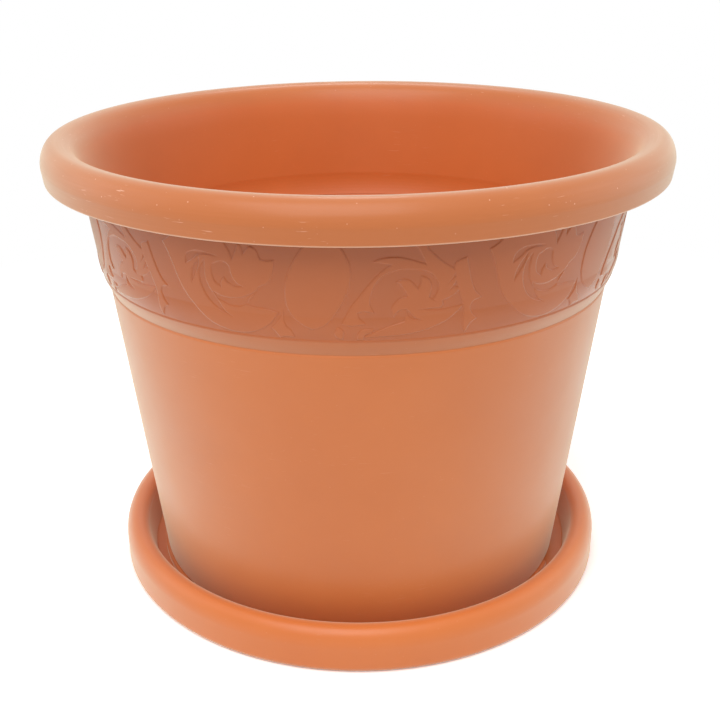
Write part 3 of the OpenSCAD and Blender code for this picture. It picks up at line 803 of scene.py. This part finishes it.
# one colour where the share is 0 and the other where it is 1
def mixColours(tree, share, first, second):
    return addNode(tree, "ShaderNodeMix", {0: share, 6: first, 7: second}, data_type="RGBA").outputs[2]


# one value where the share is 0 and the other where it is 1
def mixValues(tree, share, first, second):
    return addNode(tree, "ShaderNodeMix", {0: share, 2: first, 3: second}, data_type="FLOAT").outputs[0]


def noise(tree, place, scale, detail, roughness=0.5):
    links = {"Vector": place, "Scale": scale, "Detail": detail, "Roughness": roughness}
    return addNode(tree, "ShaderNodeTexNoise", links).outputs[0]


# distance from the pot's axis: the length of (x, y)
def axisDistance(tree, place):
    parts = addNode(tree, "ShaderNodeSeparateXYZ", {0: place})
    flat = addNode(tree, "ShaderNodeCombineXYZ", {0: parts.outputs[0], 1: parts.outputs[1]})
    return addNode(tree, "ShaderNodeVectorMath", {0: flat.outputs[0]}, operation="LENGTH").outputs["Value"]


# an empty node group with the given sockets, its input node and its output node
def newGroup(name, inputs, outputs):
    group = bpy.data.node_groups.new(name, "ShaderNodeTree")
    for label, kind, value in inputs:
        socket = group.interface.new_socket(label, in_out="INPUT", socket_type=kind)
        if value is not None:
            socket.default_value = value
    for label, kind in outputs:
        group.interface.new_socket(label, in_out="OUTPUT", socket_type=kind)
    return group, group.nodes.new("NodeGroupInput"), group.nodes.new("NodeGroupOutput")


# Colour, roughness and height of a moulded skin. The colour drifts slowly between two tones,
# thin tool lines run round the axis as noise in z + slant r, and fine grain is laid on top.
def mouldedSkinGroup():
    group, given, result = newGroup("mouldedSkin", [
        ("Vector", "NodeSocketVector", None), ("Colour", "NodeSocketColor", None),
        ("Deep Colour", "NodeSocketColor", None), ("Roughness", "NodeSocketFloat", 0.4),
        ("Lines", "NodeSocketFloat", 0.3), ("Grain", "NodeSocketFloat", 0.3),
    ], [("Colour", "NodeSocketColor"), ("Roughness", "NodeSocketFloat"), ("Height", "NodeSocketFloat")])
    place = given.outputs["Vector"]
    parts = addNode(group, "ShaderNodeSeparateXYZ", {0: place})
    radius = axisDistance(group, place)
    along = calculate(group, "MULTIPLY_ADD", radius, pattern["lineSlant"], parts.outputs[2])
    lineAt = addNode(group, "ShaderNodeCombineXYZ", {
        0: calculate(group, "MULTIPLY", parts.outputs[0], pattern["linesAround"]),
        1: calculate(group, "MULTIPLY", parts.outputs[1], pattern["linesAround"]),
        2: calculate(group, "MULTIPLY", along, pattern["linesAcross"]),
    }).outputs[0]
    lines = calculate(group, "MULTIPLY", noise(group, lineAt, 1.0, 3.0, 0.7), given.outputs["Lines"])
    grain = calculate(group, "MULTIPLY", noise(group, place, pattern["grain"], 2.0), given.outputs["Grain"])
    tone = rampBetween(group, noise(group, place, pattern["tone"], 4.0, 0.6), *pattern["toneLevels"])
    toneAndLines = calculate(group, "MULTIPLY_ADD", lines, pattern["lineTone"], tone)
    colour = mixColours(group, toneAndLines, given.outputs["Deep Colour"], given.outputs["Colour"])
    shift = pattern["patchRoughness"]
    patchNoise = noise(group, place, pattern["patches"], 3.0)
    patches = rampBetween(group, patchNoise, *pattern["patchLevels"], -shift, shift)
    lineShift = calculate(group, "MULTIPLY_ADD", lines, pattern["lineRoughness"], patches)
    roughness = calculate(group, "ADD", given.outputs["Roughness"], lineShift)
    group.links.new(colour, result.inputs["Colour"])
    group.links.new(roughness, result.inputs["Roughness"])
    group.links.new(calculate(group, "ADD", lines, grain), result.inputs["Height"])
    return group


# Masks of light marks: Specks are small cells of a Voronoi pattern that pass a random
# threshold, Scratches are thin crests of a noise stretched across the surface.
def handlingMarksGroup():
    group, given, result = newGroup("handlingMarks", [
        ("Vector", "NodeSocketVector", None), ("Amount", "NodeSocketFloat", 0.5),
    ], [("Specks", "NodeSocketFloat"), ("Scratches", "NodeSocketFloat")])
    place = given.outputs["Vector"]
    cells = addNode(group, "ShaderNodeTexVoronoi", {"Vector": place, "Scale": pattern["specks"]})
    near = rampBetween(group, cells.outputs["Distance"], *pattern["speckLevels"])
    pick = addNode(group, "ShaderNodeSeparateColor", {0: cells.outputs["Color"]}).outputs[0]
    specks = calculate(group, "MULTIPLY", near, rampBetween(group, pick, *pattern["speckShare"]))
    turnAndScale = {0: place, "Rotation": pattern["scratchTurn"], "Scale": pattern["scratches"]}
    stretched = addNode(group, "ShaderNodeMapping", turnAndScale).outputs[0]
    crest = rampBetween(group, noise(group, stretched, 1.0, 2.0), *pattern["scratchLevels"])
    zone = rampBetween(group, noise(group, place, pattern["scratchZones"], 1.0), *pattern["zoneLevels"])
    scratches = calculate(group, "MULTIPLY", crest, zone)
    for mask, label in ((specks, "Specks"), (scratches, "Scratches")):
        group.links.new(calculate(group, "MULTIPLY", mask, given.outputs["Amount"]), result.inputs[label])
    return group


skinGroup = mouldedSkinGroup()
marksGroup = handlingMarksGroup()


# a plastic shader with the constant part of the finish on its own sockets
def startMaterial(name, sheen="sheen"):
    material = bpy.data.materials.new(name)
    material.use_nodes = True
    tree = material.node_tree
    tree.nodes.clear()
    output = tree.nodes.new("ShaderNodeOutputMaterial")
    shader = tree.nodes.new("ShaderNodeBsdfPrincipled")
    constants = {
        "IOR": finish["ior"], "Sheen Weight": finish[sheen], "Sheen Roughness": finish[sheen + "Roughness"],
        "Sheen Tint": finish["sheenTint"], "Coat Weight": finish["coat"],
        "Coat Roughness": finish["coatRoughness"],
    }
    for label, value in constants.items():
        shader.inputs[label].default_value = value
    tree.links.new(shader.outputs[0], output.inputs[0])
    place = tree.nodes.new("ShaderNodeTexCoord").outputs["Object"]
    return material, tree, shader, place


# the skin group with its colours, its roughness and how much of its lines and grain shows
def moulded(tree, place, colour, deep, roughness, lines, grain):
    links = {
        "Vector": place, "Colour": colour, "Deep Colour": deep,
        "Roughness": roughness, "Lines": lines, "Grain": grain,
    }
    return addNode(tree, "ShaderNodeGroup", links, node_tree=skinGroup).outputs


# feeds a colour, a roughness and a height to the shader, the height as a bump
def feedShader(tree, shader, colour, roughness, height, strength):
    tree.links.new(colour, shader.inputs["Base Color"])
    tree.links.new(roughness, shader.inputs["Roughness"])
    depth = finish["bumpDepth"] * metresPerMm
    bump = addNode(tree, "ShaderNodeBump", {"Height": height, "Strength": strength, "Distance": depth})
    tree.links.new(bump.outputs[0], shader.inputs["Normal"])


# pale marks mixed into a colour, by the stronger of the two masks
def withMarks(tree, place, colour, amount):
    links = {"Vector": place, "Amount": amount}
    wear = addNode(tree, "ShaderNodeGroup", links, node_tree=marksGroup).outputs
    stronger = calculate(tree, "MAXIMUM", wear["Specks"], wear["Scratches"])
    return mixColours(tree, stronger, colour, finish["paleMark"])


# a ramp of a length between two distances from a place, all in millimetres
def rampAt(tree, length, place, distances):
    return rampBetween(tree, length, *((place + d) * metresPerMm for d in distances))


# The pot's plastic. Inside it is painted brighter and redder: painted bounce light from inside the
# pot. On the band it is painted deeper: a painted shade where the band faces down. On the rim it is
# deeper and glossier, tool lines and marks grow stronger, and along its lower edge a pale line is
# painted: partly the paler parting line, partly a painted reflection of the floor.
def potPlasticMaterial(s):
    material, tree, shader, place = startMaterial("potPlastic")
    height = addNode(tree, "ShaderNodeSeparateXYZ", {0: place}).outputs[2]
    aboveRimFoot = rampAt(tree, height, s["rimFootZ"], s["rimColourFrom"])
    overCrown = rampAt(tree, axisDistance(tree, place), s["crownR"], s["crownColourFrom"])
    onRim = calculate(tree, "MULTIPLY", aboveRimFoot, overCrown)
    colour, deep = finish["potColour"], finish["potDeep"]
    # the inside's mark: painted bounce light, and no coat
    onLitInside = addNode(tree, "ShaderNodeAttribute", attribute_name="inside").outputs["Fac"]
    # the band's mark: painted shade
    onShadedBand = addNode(tree, "ShaderNodeAttribute", attribute_name="band").outputs["Fac"]
    for zone, label in ((onLitInside, "inside"), (onShadedBand, "band"), (onRim, "rim")):
        colour = mixColours(tree, zone, colour, finish[label + "Colour"])
        deep = mixColours(tree, zone, deep, finish[label + "Deep"])
    lines = mixValues(tree, onRim, finish["lines"], finish["rimLines"])
    skin = moulded(tree, place, colour, deep, finish["bodyRoughness"], lines, finish["grain"])
    amount = mixValues(tree, onRim, finish["marks"], finish["rimMarks"])
    marked = withMarks(tree, place, skin["Colour"], amount)
    wallCoat = mixValues(tree, onLitInside, finish["coat"], finish["insideCoat"])
    tree.links.new(mixValues(tree, onRim, wallCoat, finish["rimCoat"]), shader.inputs["Coat Weight"])
    # a pale line along the rim's lower edge: partly the paler parting line, partly a painted reflection
    lowEdge = rampAt(tree, height, s["rimFootZ"], s["partingLineAndGlintFrom"])
    withPartingLineAndGlint = mixColours(tree, calculate(tree, "MULTIPLY", onRim, lowEdge), marked, finish["partingLineAndGlint"])
    feedShader(tree, shader, withPartingLineAndGlint, skin["Roughness"], skin["Height"], finish["bump"])
    return material


# The frieze: the ornament is frosted and pale where it is seen aslant, the ground between is
# smoother and deeper. Both are painted darker than the pot's body: painted shade for the rim's
# shadow over the frieze. The piece's own attribute says where the ornament is raised.
def friezeMaterial():
    material, tree, shader, place = startMaterial("friezePlastic", "friezeSheen")
    raised = addNode(tree, "ShaderNodeAttribute", attribute_name="raised").outputs["Fac"]
    matte = rampBetween(tree, raised, *finish["matteFrom"])
    # both colour sets are painted shade, darker than the body's, for the rim's shadow
    ends = ("Colour", "Deep", "Roughness", "Lines", "Grain")
    ornament = moulded(tree, place, *(finish["ornament" + end] for end in ends))
    ground = moulded(tree, place, *(finish["ground" + end] for end in ends))
    coat = mixValues(tree, matte, finish["groundCoat"], finish["ornamentCoat"])
    tree.links.new(coat, shader.inputs["Coat Weight"])
    colour = mixColours(tree, matte, ground["Colour"], ornament["Colour"])
    roughness = mixValues(tree, matte, ground["Roughness"], ornament["Roughness"])
    bumps = mixValues(tree, matte, ground["Height"], ornament["Height"])
    feedShader(tree, shader, colour, roughness, bumps, finish["friezeBump"])
    return material


# the saucer's plastic, a little more orange, with few marks; its colours are painted brighter than
# the pot's: painted bounce light from the floor
def saucerPlasticMaterial():
    material, tree, shader, place = startMaterial("saucerPlastic")
    skin = moulded(tree, place, finish["saucerColour"], finish["saucerDeep"], finish["saucerRoughness"],
                   finish["saucerLines"], finish["grain"])
    colour = withMarks(tree, place, skin["Colour"], finish["saucerMarks"])
    feedShader(tree, shader, colour, skin["Roughness"], skin["Height"], finish["bump"])
    return material


potPieces = [shell, floorPiece, rimRibs, floorRibs, floorHub]
saucerPieces = [saucerShell, pads, lipRibs]
for pieces, material in ((potPieces, potPlasticMaterial(potSizes)),
                         (friezes, friezeMaterial()),
                         (saucerPieces, saucerPlasticMaterial())):
    for piece in pieces:
        piece.data.materials.append(material)
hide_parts("pot")
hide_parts("saucer")
print("finishes on", len(potPieces) + len(friezes) + len(saucerPieces), "pieces")

# the studio
studio = {
    "floorR": 2.6, "floorSides": 96, "floorForLight": 0.66, "floorForCamera": 1.4,
    "plainFrom": 0.45, "plainTo": 0.8, "worldLight": 0.62, "worldSeen": 1.0, "lampsAim": (0.0, 0.0, 0.2),
    "topLampSize": 1.5, "topLampPlace": (-0.25, -1.15, 1.60), "topLampPower": 18.5,
    "leftLampSize": 1.3, "leftLampPlace": (-1.8, 0.0, 0.8), "leftLampPower": 4.5,
    "rightLampSize": 1.3, "rightLampPlace": (1.8, 0.0, 0.8), "rightLampPower": 4.4,
    "backLampSize": 0.4, "backLampPlace": (0.0, 1.0, 1.75), "backLampPower": 4.5,
}


# 1 for what the camera sees directly, in a reflection or through glass
def seenRays(tree):
    path = addNode(tree, "ShaderNodeLightPath").outputs
    direct = calculate(tree, "MAXIMUM", path["Is Camera Ray"], path["Is Glossy Ray"])
    return calculate(tree, "MAXIMUM", direct, path["Is Transmission Ray"])


# A flat round floor on which the object stands. Near the object it takes its shadow, and the
# rest of it is seen plain white. A path that came up through it from below no longer meets it.
def studioFloor(r, sides):
    mesh = bpy.data.meshes.new("studioFloor")
    mesh.from_pydata(around(r, np.arange(sides) * 360 / sides, 0.0).tolist(), [], [list(range(sides))])
    floor = bpy.data.objects.new("studioFloor", mesh)
    bpy.context.scene.collection.objects.link(floor)
    material = bpy.data.materials.new("studioFloor")
    material.use_nodes = True
    tree = material.node_tree
    tree.nodes.clear()
    output = tree.nodes.new("ShaderNodeOutputMaterial")
    seen = seenRays(tree)
    tone = mixValues(tree, seen, studio["floorForLight"], studio["floorForCamera"])
    diffuse = addNode(tree, "ShaderNodeBsdfDiffuse", {"Color": tone})
    plainWhite = addNode(tree, "ShaderNodeEmission", {"Color": (1, 1, 1, 1), "Strength": 1.0})
    place = tree.nodes.new("ShaderNodeTexCoord").outputs["Object"]
    faraway = rampBetween(tree, axisDistance(tree, place), studio["plainFrom"], studio["plainTo"])
    share = calculate(tree, "MULTIPLY", faraway, seen)
    upperLinks = {0: share, 1: diffuse.outputs[0], 2: plainWhite.outputs[0]}
    upper = addNode(tree, "ShaderNodeMixShader", upperLinks)
    passed = addNode(tree, "ShaderNodeLightPath").outputs["Transparent Depth"]
    underneath = addNode(tree, "ShaderNodeNewGeometry").outputs["Backfacing"]
    fromBelow = calculate(tree, "MAXIMUM", underneath, calculate(tree, "GREATER_THAN", passed, 0.5))
    clear = tree.nodes.new("ShaderNodeBsdfTransparent")
    surface = addNode(tree, "ShaderNodeMixShader", {0: fromBelow, 1: upper.outputs[0], 2: clear.outputs[0]})
    tree.links.new(surface.outputs[0], output.inputs[0])
    mesh.materials.append(material)


# plain light from all round; the camera and mirror-like rays see it white
def studioWorld():
    world = bpy.data.worlds.new("studioWorld")
    bpy.context.scene.world = world
    world.use_nodes = True
    tree = world.node_tree
    tree.nodes.clear()
    output = tree.nodes.new("ShaderNodeOutputWorld")
    level = mixValues(tree, seenRays(tree), studio["worldLight"], studio["worldSeen"])
    background = addNode(tree, "ShaderNodeBackground", {"Color": (1, 1, 1, 1), "Strength": level})
    tree.links.new(background.outputs[0], output.inputs[0])


# a matrix with the given axes as columns and a place
def placed(right, up, back, place):
    turned = Matrix(np.column_stack([right, up, back]).tolist()).to_4x4()
    turned.translation = place
    return turned


# a square lamp that looks at the pot's middle, its back along the line from there to the lamp
def softLamp(name, size, place, power):
    lamp = bpy.data.lights.new(name, "AREA")
    lamp.size = size
    lamp.energy = power
    holder = bpy.data.objects.new(name, lamp)
    bpy.context.scene.collection.objects.link(holder)
    away = np.array(place) - np.array(studio["lampsAim"])
    back = away / np.linalg.norm(away)
    side = np.cross([0, 1, 0], back)
    side /= np.linalg.norm(side)
    holder.matrix_world = placed(side, np.cross(back, side), back, place)


studioFloor(studio["floorR"], studio["floorSides"])
studioWorld()
for lampName in ("topLamp", "leftLamp", "rightLamp", "backLamp"):
    softLamp(lampName, studio[lampName + "Size"], studio[lampName + "Place"], studio[lampName + "Power"])

cameraSetup = {
    "place": (0.0, -0.6844, 0.4254), "focalPixels": 1048.08, "framePixels": 720, "sensorMm": 36.0,
    "pitch": 22.958, "yaw": -0.901, "roll": -0.751, "centrePixels": 17.13, "nearest": 0.01,
}


# looks along (sin yaw cos pitch, cos yaw cos pitch, -sin pitch), turned by the roll
def photoCamera(c):
    pitch, yaw, roll = (math.radians(c[k]) for k in ("pitch", "yaw", "roll"))
    forward = np.array([math.sin(yaw) * math.cos(pitch), math.cos(yaw) * math.cos(pitch), -math.sin(pitch)])
    right = np.array([math.cos(yaw), -math.sin(yaw), 0.0])
    up = np.cross(right, forward)
    rolledRight = right * math.cos(roll) + up * math.sin(roll)
    rolledUp = -right * math.sin(roll) + up * math.cos(roll)
    lens = bpy.data.cameras.new("photoCamera")
    lens.sensor_width = c["sensorMm"]
    lens.lens = c["focalPixels"] / c["framePixels"] * lens.sensor_width
    lens.shift_x = c["centrePixels"] / c["framePixels"]
    lens.clip_start = c["nearest"]
    camera = bpy.data.objects.new("photoCamera", lens)
    bpy.context.scene.collection.objects.link(camera)
    camera.matrix_world = placed(rolledRight, rolledUp, -forward, c["place"])
    bpy.context.scene.camera = camera


photoCamera(cameraSetup)
bpy.context.scene.view_settings.view_transform = "Standard"
print("studio and camera ready")
